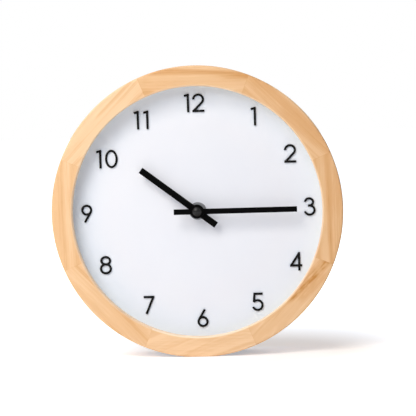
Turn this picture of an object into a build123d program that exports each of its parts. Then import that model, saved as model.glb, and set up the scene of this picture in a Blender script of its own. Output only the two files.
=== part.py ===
from build123d import *

import os
from math import acos, cos, pi, radians, sin, sqrt, tan

# Round wooden desk clock: a ring of mitred wood segments, a recessed white dial with raised numerals,
# two stick hands and a battery quartz movement with its gear train, closed by a back panel.
# Millimetres. The origin is the middle of the standing flat, +Z is up and the dial faces -Y.
# A depth is measured backwards from the front rim of the ring, and a position (right, up) is
# measured from the clock axis as seen from the front.

# Frame ring of mitred segments
frame_diameter = 200.0
frame_depth = 40.0
ring_width = 14.3
segment_count = 8
edge_round = 1.2
standing_flat_width = 20.0
cut_overrun = 1.0

# Dial card and dial board behind the front lip of the ring
recess_depth = 12.5
opening_undercut = 0.9
dial_lip = 4.5
dial_clearance = 0.2
dial_face_thickness = 0.5
dial_board_thickness = 3.0

# Raised numerals, with their outermost corners near one circle inside the ring
numeral_height = 12.7
numeral_stroke = 1.5
numeral_thickness = 0.8
numeral_ring_gap = 4.4

# Hands, shown at a quarter past ten
hour_mark_angle = 300
minute_hand_angle = 90
minute_hand_length = 68.5
minute_hand_width = 3.75
hour_hand_length = 48.2
hour_hand_width = 4.4
hand_tail = 16.0
hand_thickness = 0.6
hand_fit = 0.02
hub_thickness = 1.4
minute_hub_radius = 4.85
hour_hub_rim = 1.9
hour_collar_wall = 0.9
hour_collar_length = 0.8
hour_hand_lift = 5.5
minute_hand_lift = 8.6
cap_wall = 1.5
cap_height = 2.0
cap_dome_height = 1.3
cap_bore_depth = 0.9

# Pipes that carry the hands, and the stem round them that is clamped through the dial
minute_pipe_radius = 1.6
hour_pipe_wall = 0.85
pipe_proud = 0.4
pipe_bore_depth = 2.0
stem_wall = 1.45
stem_reach = 3.8
stem_clearance = 0.15
washer_rim = 2.1
washer_thickness = 0.5
nut_rim = 1.9
nut_thickness = 2.2
nut_slot_width = 1.2
nut_slot_depth = 0.9
nut_slot_count = 4
gasket_rim = 8.0
gasket_thickness = 1.0

# Back panel, its screws and the spacer ring that holds the dial board forward
panel_thickness = 3.0
panel_inset = 0.5
panel_ledge = 5.5
panel_clearance = 0.3
window_margin = 2.0
window_corner = 4.0
spacer_thickness = 2.5
screw_count = 4
screw_radius = 1.0
screw_length = 10.0
screw_head_radius = 1.9
screw_clearance = 0.1
screw_slot_width = 0.5
screw_slot_depth = 0.6
screw_slot_length = 2.2

# Battery and its contacts
battery_radius = 7.25
battery_length = 50.0
battery_edge_round = 1.0
terminal_radius = 2.7
terminal_length = 1.4
bay_clearance = 0.5
bay_rear_margin = 0.3
leaf_room = 3.2
leaf_half_height = 5.0
contact_thickness = 0.3
contact_gap = 0.1
contact_width = 5.0
strip_width = 3.0
strip_lift = 0.25
strip_tail = 2.0

# Movement case
case_wall = 1.2
case_corner = 3.0
cover_clearance = 0.1
corner_post_radius = 3.2
room_floor_gap = 0.9

# Gears and their arbors
wheel_thickness = 1.0
layer_gap = 0.4
bridge_thickness = 1.0
arbor_radius = 0.45
arbor_gap = 0.4
pivot_radius = 0.3
pivot_reach = 0.85
pivot_hole_depth = 0.95
end_play = 0.15
running_clearance = 0.05
pressure_angle = 20.0
addendum_share = 0.8
dedendum_share = 1.05
tooth_share = 0.43

# Motion work, which turns the hour hand once for twelve turns of the minute hand
cannon_teeth = 14
minute_wheel_teeth = 42
minute_pinion_teeth = 12
hour_wheel_teeth = 48
cannon_rim = 0.185
minute_wheel_bearing = 20.0
setting_teeth = 14
setting_shaft_radius = 1.5
setting_gap = 0.3
knob_radius = 6.0
knob_thickness = 2.0
knob_flute_radius = 0.6
knob_flute_count = 20

# Going train, from the rotor to the slipping centre wheel
centre_teeth = 64
third_pinion_teeth = 8
third_teeth = 60
second_pinion_teeth = 8
second_teeth = 50
intermediate_pinion_teeth = 10
intermediate_teeth = 60
rotor_teeth = 10
centre_module = 0.2
intermediate_module = 0.18
third_bearing = 170.0
intermediate_bearing = 75.0

# Inner plate and the posts that carry it
bridge_drop = 9.2
bridge_top_rim = 3.75
bridge_side_rim = 1.7
bridge_post_gap = 0.5
bridge_post_inset = 2.0
bridge_post_radius = 1.5
stake_radius = 0.7

# Stepping motor
magnet_radius = 2.8
magnet_length = 3.0
air_gap = 0.35
stator_front_offset = 7.0
stator_thickness = 0.8
stator_web = 0.65
stator_end = 3.3
stator_board_gap = 2.0
stator_leg_width = 4.0
stator_post_radius = 1.8
core_height = 4.0
coil_gap = 0.5
coil_rise = 0.95
coil_wall_gap = 0.4
bobbin_wall = 0.8
bobbin_flange = 8.4
bobbin_flange_thickness = 0.8
bobbin_fit = 0.1
winding_height = 7.6
winding_round = 1.4

# Drive circuit
board_width = 10.0
board_height = 22.0
board_thickness = 1.0
board_wall_gap = 0.8
board_top_gap = 3.8
board_post_radius = 1.5
board_post_inset = 4.0
chip_size = 4.0
chip_thickness = 1.0
crystal_radius = 1.0
crystal_length = 6.0
crystal_gap = 0.02

# Ring, dial and panel sizes that follow
frame_radius = frame_diameter / 2
opening_radius = frame_radius - ring_width
rabbet_radius = opening_radius + dial_lip
panel_seat_radius = rabbet_radius + panel_ledge
axis_height = sqrt(frame_radius**2 - (standing_flat_width / 2) ** 2)
front_y = -frame_depth / 2
segment_arc = 360 / segment_count
clock_axis = Axis((0, 0, axis_height), (0, 1, 0))
dial_radius = rabbet_radius - dial_clearance
dial_back = recess_depth + dial_face_thickness + dial_board_thickness
numeral_reach = opening_radius - numeral_ring_gap
panel_back = frame_depth - panel_inset
panel_front = panel_back - panel_thickness
screw_circle_radius = rabbet_radius + panel_ledge / 2
screw_start_angle = 180 / screw_count

# Pipe and stem radii that follow, from the minute pipe outwards
pipe_bore = minute_pipe_radius + running_clearance
hour_pipe_radius = pipe_bore + hour_pipe_wall
stem_bore = hour_pipe_radius + running_clearance
stem_radius = stem_bore + stem_wall
stem_hole = stem_radius + stem_clearance

# Hand and stem depths that follow
hub_proud = (hub_thickness - hand_thickness) / 2
hour_hand_rear = recess_depth - hour_hand_lift
hour_hub_rear = hour_hand_rear + hub_proud
hour_hub_front = hour_hub_rear - hub_thickness
hour_pipe_front = hour_hub_front - pipe_proud
minute_hand_rear = recess_depth - minute_hand_lift
minute_hub_rear = minute_hand_rear + hub_proud
minute_hub_front = minute_hub_rear - hub_thickness
minute_pipe_front = minute_hub_front - pipe_proud
stem_front = recess_depth - stem_reach

# Movement depths that follow, layer by layer from the dial to the rear
case_front = dial_back + gasket_thickness
case_floor = case_front + case_wall
case_rear = case_floor + bay_clearance + 2 * battery_radius + bay_rear_margin
cover_front = case_rear - case_wall
hour_layer = case_floor + layer_gap
cannon_layer = hour_layer + wheel_thickness + layer_gap
bridge_front = cannon_layer + wheel_thickness + layer_gap
bridge_rear = bridge_front + bridge_thickness
centre_layer = bridge_rear + layer_gap
third_layer = centre_layer + wheel_thickness + layer_gap
second_layer = third_layer + wheel_thickness + layer_gap
intermediate_layer = second_layer + wheel_thickness + layer_gap
pipe_rear = centre_layer + wheel_thickness
lowest = (Align.CENTER, Align.CENTER, Align.MIN)
highest = (Align.CENTER, Align.CENTER, Align.MAX)
os.makedirs("parts", exist_ok=True)


def at_bearing(distance, bearing, start=(0, 0)):
    """Point at a distance and an angle, counter-clockwise from the right, from a start point."""
    return (start[0] + distance * cos(radians(bearing)), start[1] + distance * sin(radians(bearing)))


# Arbor positions that follow from the tooth counts: the cannon pinion's root clears the minute pipe,
# and the intermediate arbor clears the tips of the centre wheel
cannon_module = (minute_pipe_radius + cannon_rim) / (cannon_teeth / 2 - dedendum_share)
motion_distance = cannon_module * (cannon_teeth + minute_wheel_teeth) / 2
hour_module = 2 * motion_distance / (minute_pinion_teeth + hour_wheel_teeth)
setting_distance = cannon_module * (minute_wheel_teeth + setting_teeth) / 2
third_distance = centre_module * (centre_teeth + third_pinion_teeth) / 2
third_module = 2 * third_distance / (third_teeth + second_pinion_teeth)
centre_tip_radius = centre_module * (centre_teeth / 2 + addendum_share)
intermediate_distance = centre_tip_radius + arbor_gap + arbor_radius
second_module = 2 * intermediate_distance / (second_teeth + intermediate_pinion_teeth)
rotor_distance = intermediate_module * (intermediate_teeth + rotor_teeth) / 2
centre_at = (0, 0)
minute_wheel_at = at_bearing(motion_distance, minute_wheel_bearing)
setting_at = at_bearing(setting_distance, minute_wheel_bearing, minute_wheel_at)
third_at = at_bearing(third_distance, third_bearing)
intermediate_at = at_bearing(intermediate_distance, intermediate_bearing)
rotor_at = at_bearing(rotor_distance, intermediate_bearing, intermediate_at)

# Movement outlines that follow: the gear room is as high as the train and the coil need, the battery
# bay hangs below it, and the case is as wide as the battery and its contacts
room_edge = (battery_length + leaf_room + contact_thickness + contact_gap) / 2
bridge_top = rotor_at[1] + bridge_top_rim
bridge_bottom = -bridge_drop
room_bottom = bridge_bottom - room_floor_gap
bay_top = room_bottom - case_wall
bay_bottom = bay_top - 2 * (battery_radius + bay_clearance)
stator_bottom = rotor_at[1] - magnet_radius - air_gap - stator_web
stator_bar_top = rotor_at[1] + magnet_radius + air_gap + stator_web
coil_height = stator_bar_top + coil_rise + bobbin_flange / 2
room_top = coil_height + bobbin_flange / 2 + coil_wall_gap
case_left = -room_edge - case_wall
case_right = room_edge + case_wall
case_bottom = bay_bottom - case_wall
case_top = room_top + case_wall
case_width = case_right - case_left
case_height = case_top - case_bottom
case_middle = (case_bottom + case_top) / 2

# Circuit, motor and battery places that follow
stator_front = case_front + stator_front_offset
stator_rear = stator_front + stator_thickness
core_rear = stator_rear + stator_thickness
coil_depth = stator_rear + stator_thickness / 2
board_left = -room_edge + board_wall_gap
board_right = board_left + board_width
board_top = room_top - board_top_gap
board_bottom = board_top - board_height
board_middle = (board_left + board_right) / 2
board_centre = (board_bottom + board_top) / 2
board_rear = stator_front + board_thickness
board_posts = [(board_middle, board_bottom + board_post_inset), (board_middle, board_top - board_post_inset)]
stator_left = board_right + stator_board_gap
stator_right = rotor_at[0] + magnet_radius + air_gap + stator_end
coil_left = stator_left + stator_leg_width + coil_gap
coil_right = stator_right - stator_leg_width - coil_gap
stator_stakes = [
    (stator_left + stator_leg_width / 2, coil_height),
    (stator_right - stator_leg_width / 2, coil_height),
]
bridge_left = board_middle + board_post_radius + bridge_post_gap
bridge_right = setting_at[0] + setting_shaft_radius + bridge_side_rim
bridge_posts = [
    (across, height)
    for across in (bridge_left + bridge_post_inset, bridge_right - bridge_post_inset)
    for height in (bridge_bottom + bridge_post_inset, bridge_top - bridge_post_inset)
]
battery_height = bay_bottom + bay_clearance + battery_radius
battery_depth = case_floor + bay_clearance + battery_radius
battery_tip = room_edge - contact_thickness - contact_gap
battery_flat = battery_tip - battery_length
strip_rear = stator_front - contact_gap
strip_front = strip_rear - strip_width
strip_line = room_bottom + strip_lift + contact_thickness / 2
contact_line = room_edge - contact_thickness / 2
leaf_rear = strip_front + contact_width
notch_width = contact_thickness + 2 * contact_gap


def mesh_phase(teeth, driver_teeth, driver_phase, bearing):
    """Angle of a gear's first tooth so that it meets a driver gear that lies at the far end of a bearing."""
    driver_share = driver_teeth * (bearing - driver_phase) / 360
    return bearing + 180 - (360 / teeth) * (1 / 2 - driver_share)


# Tooth phases, carried from gear to gear along each train
minute_wheel_phase = mesh_phase(minute_wheel_teeth, cannon_teeth, 0, minute_wheel_bearing)
hour_wheel_phase = mesh_phase(hour_wheel_teeth, minute_pinion_teeth, 0, minute_wheel_bearing + 180)
setting_phase = mesh_phase(setting_teeth, minute_wheel_teeth, minute_wheel_phase, minute_wheel_bearing)
third_pinion_phase = mesh_phase(third_pinion_teeth, centre_teeth, 0, third_bearing)
second_pinion_phase = mesh_phase(second_pinion_teeth, third_teeth, 0, third_bearing + 180)
intermediate_pinion_phase = mesh_phase(intermediate_pinion_teeth, second_teeth, 0, intermediate_bearing)
rotor_phase = mesh_phase(rotor_teeth, intermediate_teeth, 0, intermediate_bearing)


def face_plane(depth, position=(0, 0), clock_angle=0):
    """Plane parallel to the dial that faces forward, turned so that its y axis points at a clock angle."""
    turn = radians(clock_angle)
    return Plane(
        origin=(position[0], front_y + depth, axis_height + position[1]),
        x_dir=(cos(turn), 0, -sin(turn)),
        z_dir=(0, -1, 0),
    )


def rear_plane(depth):
    """Plane parallel to the dial that faces backward, on the clock axis."""
    return Plane(origin=(0, front_y + depth, axis_height), x_dir=(-1, 0, 0), z_dir=(0, 1, 0))


def radial_plane(clock_angle):
    """Plane through the clock axis, with x outwards at a clock angle and y backwards."""
    turn = radians(clock_angle)
    return Plane(
        origin=(0, front_y, axis_height),
        x_dir=(sin(turn), 0, cos(turn)),
        z_dir=(-cos(turn), 0, sin(turn)),
    )


def rod(radius, front, rear, position=(0, 0), mode=Mode.ADD):
    """Cylinder between two depths."""
    with Locations(face_plane(rear, position)):
        Cylinder(radius, rear - front, align=lowest, mode=mode)


def block(left, right, bottom, top, front, rear, mode=Mode.ADD):
    """Box between two depths, with its sides given from the clock axis."""
    with Locations(face_plane(rear, ((left + right) / 2, (bottom + top) / 2))):
        Box(right - left, top - bottom, rear - front, align=lowest, mode=mode)


def gear(teeth, module, front, position=(0, 0), phase=0):
    """Spur gear with involute flanks, one wheel thickness deep."""
    pitch_radius = teeth * module / 2
    base_radius = pitch_radius * cos(radians(pressure_angle))
    root_radius = pitch_radius - dedendum_share * module
    tip_radius = pitch_radius + addendum_share * module
    radii = [root_radius, pitch_radius, tip_radius]
    if base_radius > root_radius:
        radii.insert(1, base_radius)

    def involute(radius):
        angle = acos(min(base_radius / radius, 1))
        return tan(angle) - angle

    def half_tooth(radius):
        return tooth_share * pi / teeth + involute(pitch_radius) - involute(radius)

    points = []
    for tooth in range(teeth):
        middle = radians(phase) + 2 * pi * tooth / teeth
        flank = [(radius, middle - half_tooth(radius)) for radius in radii]
        flank += [(radius, middle + half_tooth(radius)) for radius in reversed(radii)]
        points += [(radius * cos(angle), radius * sin(angle)) for radius, angle in flank]
    with BuildSketch(face_plane(front + wheel_thickness, position)) as outline:
        Polygon(*points, align=None)
    extrude(outline.sketch, amount=wheel_thickness)


def arbor(front, rear, position=(0, 0)):
    """Arbor between two bearing faces, with a pivot that runs into each of them."""
    rod(arbor_radius, front + end_play, rear - end_play, position)
    rod(pivot_radius, front - pivot_reach + end_play, rear + pivot_reach - end_play, position)


def pivot_hole(front, rear, position):
    """Hole for a pivot between two depths."""
    rod(pivot_radius + running_clearance, front, rear, position, Mode.SUBTRACT)


# Frame: eight segments glued at mitres, with a lip for the dial and a ledge for the back panel.
# The opening widens a little from its front edge to the dial.
for index in range(segment_count):
    with BuildPart() as segment:
        with BuildSketch(radial_plane((index - 1 / 2) * segment_arc)) as profile:
            with BuildLine():
                Polyline(
                    (opening_radius, 0),
                    (frame_radius, 0),
                    (frame_radius, frame_depth),
                    (panel_seat_radius, frame_depth),
                    (panel_seat_radius, panel_front),
                    (rabbet_radius, panel_front),
                    (rabbet_radius, recess_depth),
                    (opening_radius + opening_undercut, recess_depth),
                    close=True,
                )
            make_face()
            fillet(profile.vertices().group_by(Axis.Y)[0], edge_round)
            fillet(profile.vertices().group_by(Axis.Y)[-1].sort_by(Axis.X)[-1], edge_round)
        revolve(axis=clock_axis, revolution_arc=segment_arc)
        with Locations(rear_plane(panel_front)):
            with PolarLocations(screw_circle_radius, screw_count, screw_start_angle):
                Cylinder(
                    screw_radius + screw_clearance,
                    screw_length - panel_thickness + screw_clearance,
                    align=highest,
                    mode=Mode.SUBTRACT,
                )
        if index == segment_count // 2:
            split(bisect_by=Plane.XY)
    segment.part.label = f"frame_segment_{index + 1}"
    export_step(segment.part, f"parts/frame_segment_{index + 1}.step")

# Dial card
with BuildPart() as dial_face:
    rod(dial_radius, recess_depth, recess_depth + dial_face_thickness)
    rod(stem_hole, recess_depth - cut_overrun, dial_back, mode=Mode.SUBTRACT)
dial_face.part.label = "dial_face"
export_step(dial_face.part, "parts/dial_face.step")

# Dial board
with BuildPart() as dial_board:
    rod(dial_radius, recess_depth + dial_face_thickness, dial_back)
    rod(stem_hole, recess_depth, dial_back + cut_overrun, mode=Mode.SUBTRACT)
dial_board.part.label = "dial_board"
export_step(dial_board.part, "parts/dial_board.step")

# Spacer ring between the dial board and the back panel
with BuildPart() as spacer_ring:
    rod(dial_radius, dial_back, panel_front)
    rod(
        dial_radius - spacer_thickness,
        dial_back - cut_overrun,
        panel_front + cut_overrun,
        mode=Mode.SUBTRACT,
    )
spacer_ring.part.label = "spacer_ring"
export_step(spacer_ring.part, "parts/spacer_ring.step")

# Digit tables. A digit's width is a share of the numeral height. Its strokes lie in the box of the
# stroke centre lines: x from 0 at the left to 1 at the right, y from 0 at the foot to 1 at the top.
# A bar is (x, y, x, y, part of a half stroke added at each end), an arc is (centre x, centre y,
# x radius, y radius, start angle, angle run) and a ring is (centre x, centre y, x radius, y radius).
digit_width_shares = {
    "0": 0.69, "1": 0.27, "2": 0.645, "3": 0.63, "4": 0.655,
    "5": 0.62, "6": 0.60, "7": 0.58, "8": 0.66, "9": 0.60,
}
digit_bar_shares = {
    "1": [(1, 0, 1, 1, 1), (0, 0.955, 1, 1, 1)],
    "2": [(0.857, 0.507, 0, 0, 0.3), (0, 0, 1, 0, 1)],
    "3": [(0.33, 0.562, 0.49, 0.562, 0)],
    "4": [(0.818, 0, 0.818, 1, 1), (0, 0.248, 1, 0.248, 1), (0, 0.248, 0.818, 1, 0)],
    "5": [(0.16, 1, 0.93, 1, 1), (0.16, 1, 0.082, 0.493, 0)],
    "6": [(0.072, 0.415, 0.738, 1.03, 0)],
    "7": [(0, 1, 1, 1, 1), (1, 1, 0.15, -0.045, 0)],
    "9": [(0.928, 0.585, 0.262, -0.03, 0)],
}
digit_arc_shares = {
    "2": [(0.5, 0.71, 0.5, 0.29, 180, -224.4)],
    "3": [(0.45, 0.781, 0.42, 0.219, 175, -265), (0.49, 0.281, 0.51, 0.281, 90, -255)],
    "5": [(0.48, 0.30, 0.52, 0.30, 140, -300)],
}
digit_ring_shares = {
    "0": [(0.5, 0.5, 0.5, 0.5)],
    "6": [(0.5, 0.273, 0.5, 0.273)],
    "8": [(0.5, 0.776, 0.44, 0.224), (0.5, 0.276, 0.5, 0.276)],
    "9": [(0.5, 0.727, 0.5, 0.273)],
}
numeral_gap_shares = {10: 0.2, 11: 0.245, 12: 0.175}
lone_one_pad_share = 0.33

# The numerals are glued on by hand, so each sits a little off the even circle: how far right and
# up, in shares of the numeral height
numeral_shift_shares = {
    1: (0.094, 0.008), 2: (0.009, 0.050), 3: (0.003, 0.081), 4: (0.175, 0.054),
    5: (0.209, 0.004), 6: (0.103, 0.055), 7: (0.107, -0.023), 8: (-0.041, 0.105),
    9: (0.019, 0.008), 10: (0.035, 0.135), 11: (-0.040, 0.022), 12: (-0.024, -0.012),
}
half_stroke = numeral_stroke / 2


def draw_digit(digit):
    """Sketch of one digit with its lower left corner at the origin."""
    box_width = digit_width_shares[digit] * numeral_height - numeral_stroke
    box_height = numeral_height - numeral_stroke

    def place(x_share, y_share):
        return (half_stroke + x_share * box_width, half_stroke + y_share * box_height)

    with BuildSketch() as outline:
        rings = digit_ring_shares.get(digit, [])
        for x_share, y_share, wide_share, tall_share in rings:
            with Locations(place(x_share, y_share)):
                Ellipse(wide_share * box_width + half_stroke, tall_share * box_height + half_stroke)
        for x_share, y_share, wide_share, tall_share, start, run in digit_arc_shares.get(digit, []):
            centre = place(x_share, y_share)
            wide = wide_share * box_width
            tall = tall_share * box_height
            with BuildLine():
                outer = EllipticalCenterArc(
                    centre, wide + half_stroke, tall + half_stroke, start, arc_size=run
                )
                inner = EllipticalCenterArc(
                    centre, wide - half_stroke, tall - half_stroke, start, arc_size=run
                )
                Line(outer @ 1, inner @ 1)
                Line(inner @ 0, outer @ 0)
            make_face()
        for from_x, from_y, to_x, to_y, cap_share in digit_bar_shares.get(digit, []):
            start_point = Vector(*place(from_x, from_y))
            end_point = Vector(*place(to_x, to_y))
            along = (end_point - start_point).normalized() * half_stroke
            across = along.rotate(Axis.Z, 90)
            start_point -= along * cap_share
            end_point += along * cap_share
            Polygon(
                start_point + across,
                start_point - across,
                end_point - across,
                end_point + across,
                align=None,
            )
        for x_share, y_share, wide_share, tall_share in rings:
            with Locations(place(x_share, y_share)):
                Ellipse(
                    wide_share * box_width - half_stroke,
                    tall_share * box_height - half_stroke,
                    mode=Mode.SUBTRACT,
                )
    return outline.sketch


digit_sketches = {digit: draw_digit(digit) for digit in digit_width_shares}

# Numerals, upright, glued to the dial card
with BuildPart() as dial_numerals:
    with BuildSketch(face_plane(recess_depth)):
        for hour in range(1, 13):
            digits = str(hour)
            widths = [digit_width_shares[digit] * numeral_height for digit in digits]
            gap = numeral_gap_shares.get(hour, 0) * numeral_height
            pad = lone_one_pad_share * numeral_height if hour == 1 else 0
            half_width = (pad + sum(widths) + gap) / 2
            half_height = numeral_height / 2
            right = sin(radians(30 * hour))
            up = cos(radians(30 * hour))
            lean = half_width * abs(right) + half_height * abs(up)
            spread = half_width**2 + half_height**2
            radius = sqrt(lean**2 + numeral_reach**2 - spread) - lean
            shift_right, shift_up = numeral_shift_shares[hour]
            left_edge = radius * right - half_width + pad + shift_right * numeral_height
            foot = radius * up - half_height + shift_up * numeral_height
            for digit, width in zip(digits, widths):
                with Locations((left_edge, foot)):
                    add(digit_sketches[digit])
                left_edge += width + gap
    extrude(amount=numeral_thickness)
dial_numerals.part.label = "dial_numerals"
export_step(dial_numerals.part, "parts/dial_numerals.step")

# Hour hand: bar, hub and the collar that grips the hour pipe
hour_hand_angle = hour_mark_angle + minute_hand_angle / 12
with BuildPart() as hour_hand:
    with BuildSketch(face_plane(hour_hand_rear, clock_angle=hour_hand_angle)):
        with Locations((0, (hour_hand_length - hand_tail) / 2)):
            Rectangle(hour_hand_width, hour_hand_length + hand_tail)
    extrude(amount=hand_thickness)
    rod(hour_pipe_radius + hour_hub_rim, hour_hub_front, hour_hub_rear)
    rod(hour_pipe_radius + hour_collar_wall, hour_hub_front, hour_hub_rear + hour_collar_length)
    rod(
        hour_pipe_radius + hand_fit,
        hour_hub_front - cut_overrun,
        hour_hub_rear + hour_collar_length + cut_overrun,
        mode=Mode.SUBTRACT,
    )
hour_hand.part.label = "hour_hand"
export_step(hour_hand.part, "parts/hour_hand.step")

# Minute hand: bar and hub
with BuildPart() as minute_hand:
    with BuildSketch(face_plane(minute_hand_rear, clock_angle=minute_hand_angle)):
        with Locations((0, (minute_hand_length - hand_tail) / 2)):
            Rectangle(minute_hand_width, minute_hand_length + hand_tail)
    extrude(amount=hand_thickness)
    rod(minute_hub_radius, minute_hub_front, minute_hub_rear)
    rod(
        minute_pipe_radius + hand_fit,
        minute_hub_front - cut_overrun,
        minute_hub_rear + cut_overrun,
        mode=Mode.SUBTRACT,
    )
minute_hand.part.label = "minute_hand"
export_step(minute_hand.part, "parts/minute_hand.step")

# Domed cap pressed over the front end of the minute pipe
cap_front = minute_hub_front - cap_height
cap_rim = cap_front + cap_dome_height
cap_radius = minute_pipe_radius + cap_wall
with BuildPart() as hand_cap:
    with BuildSketch(radial_plane(0)):
        with BuildLine():
            Polyline(
                (0, cap_front),
                (0, minute_hub_front),
                (cap_radius, minute_hub_front),
                (cap_radius, cap_rim),
            )
            TangentArc((0, cap_front), (cap_radius, cap_rim), tangent=(1, 0))
        make_face()
    revolve(axis=clock_axis)
    rod(
        minute_pipe_radius + hand_fit,
        minute_hub_front - cap_bore_depth,
        minute_hub_front + cut_overrun,
        mode=Mode.SUBTRACT,
    )
hand_cap.part.label = "hand_cap"
export_step(hand_cap.part, "parts/hand_cap.step")

# Washer and round slotted nut that clamp the stem to the dial
nut_rear = recess_depth - washer_thickness
with BuildPart() as dial_washer:
    rod(stem_radius + washer_rim, nut_rear, recess_depth)
    rod(stem_hole, nut_rear - cut_overrun, recess_depth + cut_overrun, mode=Mode.SUBTRACT)
dial_washer.part.label = "dial_washer"
export_step(dial_washer.part, "parts/dial_washer.step")

with BuildPart() as fixing_nut:
    rod(stem_radius + nut_rim, nut_rear - nut_thickness, nut_rear)
    rod(
        stem_radius + running_clearance,
        nut_rear - nut_thickness - cut_overrun,
        nut_rear + cut_overrun,
        mode=Mode.SUBTRACT,
    )
    with Locations(face_plane(nut_rear - nut_thickness)):
        with PolarLocations(stem_radius + nut_rim, nut_slot_count):
            Box(cut_overrun, nut_slot_width, 2 * nut_slot_depth, mode=Mode.SUBTRACT)
fixing_nut.part.label = "fixing_nut"
export_step(fixing_nut.part, "parts/fixing_nut.step")

# Rubber washer between the movement case and the dial board
with BuildPart() as dial_gasket:
    rod(stem_radius + gasket_rim, dial_back, case_front)
    rod(stem_hole, dial_back - cut_overrun, case_front + cut_overrun, mode=Mode.SUBTRACT)
dial_gasket.part.label = "dial_gasket"
export_step(dial_gasket.part, "parts/dial_gasket.step")

# Back panel with a window for the movement
with BuildPart(rear_plane(panel_front)) as back_panel:
    with BuildSketch(rear_plane(panel_front)):
        Circle(panel_seat_radius - panel_clearance)
        with Locations((0, case_middle)):
            RectangleRounded(
                case_width + 2 * window_margin,
                case_height + 2 * window_margin,
                window_corner,
                mode=Mode.SUBTRACT,
            )
    extrude(amount=panel_thickness)
    with Locations((0, 0, panel_thickness)):
        with PolarLocations(screw_circle_radius, screw_count, screw_start_angle):
            CounterSinkHole(
                screw_radius + screw_clearance,
                screw_head_radius + screw_clearance,
                counter_sink_angle=90,
            )
back_panel.part.label = "back_panel"
export_step(back_panel.part, "parts/back_panel.step")

# Countersunk screws with crossed slots
with BuildPart(rear_plane(panel_back)) as back_panel_screws:
    with PolarLocations(screw_circle_radius, screw_count, screw_start_angle):
        Cylinder(screw_radius, screw_length, align=highest)
        Cone(screw_radius, screw_head_radius, screw_head_radius - screw_radius, align=highest)
        Box(screw_slot_length, screw_slot_width, screw_slot_depth, align=highest, mode=Mode.SUBTRACT)
        Box(screw_slot_width, screw_slot_length, screw_slot_depth, align=highest, mode=Mode.SUBTRACT)
back_panel_screws.part.label = "back_panel_screws"
export_step(back_panel_screws.part, "parts/back_panel_screws.step")

# Movement case: shell with the threaded stem, battery bay, posts and bearing holes
with BuildPart() as movement_case:
    with BuildSketch(face_plane(case_rear, (0, case_middle))):
        RectangleRounded(case_width, case_height, case_corner)
    extrude(amount=case_rear - case_front)
    block(-room_edge, room_edge, room_bottom, room_top, case_floor, case_rear, Mode.SUBTRACT)
    block(-room_edge, room_edge, bay_bottom, bay_top, case_floor, case_rear, Mode.SUBTRACT)
    for across in (-room_edge, room_edge):
        for height, post_front in ((room_top, case_floor), (room_bottom, leaf_rear + contact_gap)):
            with BuildSketch(face_plane(cover_front, (across, height))):
                Circle(corner_post_radius)
                with Locations((-across, (room_bottom + room_top) / 2 - height)):
                    Rectangle(2 * room_edge, room_top - room_bottom, mode=Mode.INTERSECT)
            extrude(amount=cover_front - post_front)
    for post in bridge_posts:
        rod(bridge_post_radius, case_floor, bridge_front, post)
        rod(stake_radius, bridge_front, bridge_rear, post)
    for post in stator_stakes:
        rod(stator_post_radius, case_floor, stator_front, post)
        rod(stake_radius, stator_front, core_rear, post)
    for post in board_posts:
        rod(board_post_radius, case_floor, stator_front, post)
        rod(stake_radius, stator_front, board_rear, post)
    rod(stem_radius, stem_front, case_floor)
    rod(stem_bore, stem_front - cut_overrun, case_floor + cut_overrun, mode=Mode.SUBTRACT)
    for position in (minute_wheel_at, setting_at):
        pivot_hole(case_floor - pivot_hole_depth, case_floor, position)
    for side in (-1, 1):
        middle = side * (room_edge - notch_width / 2)
        block(
            middle - notch_width / 2,
            middle + notch_width / 2,
            bay_top - cut_overrun,
            room_bottom + cut_overrun,
            strip_front - contact_gap,
            leaf_rear + contact_gap,
            Mode.SUBTRACT,
        )
movement_case.part.label = "movement_case"
export_step(movement_case.part, "parts/movement_case.step")

# Rear cover of the gear room
with BuildPart() as movement_cover:
    block(
        cover_clearance - room_edge,
        room_edge - cover_clearance,
        room_bottom + cover_clearance,
        room_top - cover_clearance,
        cover_front,
        case_rear,
    )
    for position in (centre_at, third_at, intermediate_at, rotor_at):
        pivot_hole(cover_front, cover_front + pivot_hole_depth, position)
    rod(
        setting_shaft_radius + running_clearance,
        cover_front - cut_overrun,
        case_rear + cut_overrun,
        setting_at,
        Mode.SUBTRACT,
    )
movement_cover.part.label = "movement_cover"
export_step(movement_cover.part, "parts/movement_cover.step")

# Inner plate between the motion work and the going train
with BuildPart() as bridge_plate:
    block(bridge_left, bridge_right, bridge_bottom, bridge_top, bridge_front, bridge_rear)
    for post in bridge_posts:
        rod(
            stake_radius + running_clearance,
            bridge_front - cut_overrun,
            bridge_rear + cut_overrun,
            post,
            Mode.SUBTRACT,
        )
    for position in (minute_wheel_at, third_at, intermediate_at, rotor_at):
        pivot_hole(bridge_front - cut_overrun, bridge_rear + cut_overrun, position)
    for radius, position in ((minute_pipe_radius, centre_at), (setting_shaft_radius, setting_at)):
        rod(
            radius + running_clearance,
            bridge_front - cut_overrun,
            bridge_rear + cut_overrun,
            position,
            Mode.SUBTRACT,
        )
bridge_plate.part.label = "bridge_plate"
export_step(bridge_plate.part, "parts/bridge_plate.step")

# Hour wheel with the hour pipe that runs in the stem
with BuildPart() as hour_wheel:
    gear(hour_wheel_teeth, hour_module, hour_layer, phase=hour_wheel_phase)
    rod(hour_pipe_radius, hour_pipe_front, hour_layer + wheel_thickness)
    rod(pipe_bore, hour_pipe_front - cut_overrun, cannon_layer, mode=Mode.SUBTRACT)
hour_wheel.part.label = "hour_wheel"
export_step(hour_wheel.part, "parts/hour_wheel.step")

# Minute pipe with the cannon pinion, which carries the minute hand
with BuildPart() as minute_pipe:
    rod(minute_pipe_radius, minute_pipe_front, pipe_rear)
    gear(cannon_teeth, cannon_module, cannon_layer)
    pivot_hole(pipe_rear - pipe_bore_depth, pipe_rear + cut_overrun, centre_at)
minute_pipe.part.label = "minute_pipe"
export_step(minute_pipe.part, "parts/minute_pipe.step")

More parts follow.
